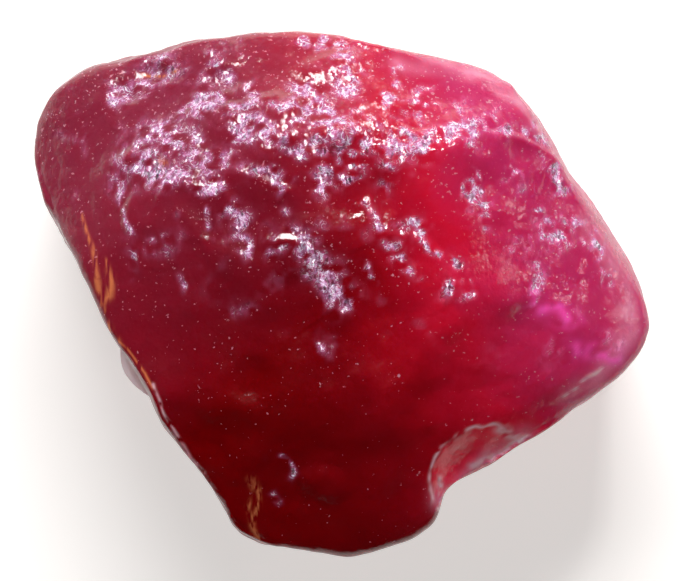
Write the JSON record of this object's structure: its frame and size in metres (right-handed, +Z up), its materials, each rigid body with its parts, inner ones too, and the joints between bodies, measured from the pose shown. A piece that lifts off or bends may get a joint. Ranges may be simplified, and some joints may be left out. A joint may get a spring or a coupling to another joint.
{
  "type": "raw ruby crystal",
  "caption": "Uncut ruby: a flattish, water-worn corundum lump with growth faces, ledges, pits and a chipped edge, resting on its parting plane.",
  "frame": {"origin": "on the flat underside, below the middle of the bounding box", "axes": "+X along the stone's longest extent, towards its blunt right-hand corner; +Y across it; +Z up, out of the broad worn face, along the shortest extent"},
  "size_m": [0.0082, 0.007, 0.005],
  "materials": {
    "ruby": "glossy growth faces, translucent deep red"
  },
  "bodies": {
    "root": {"ruby_crystal": "ruby"}
  },
  "joints": []
}
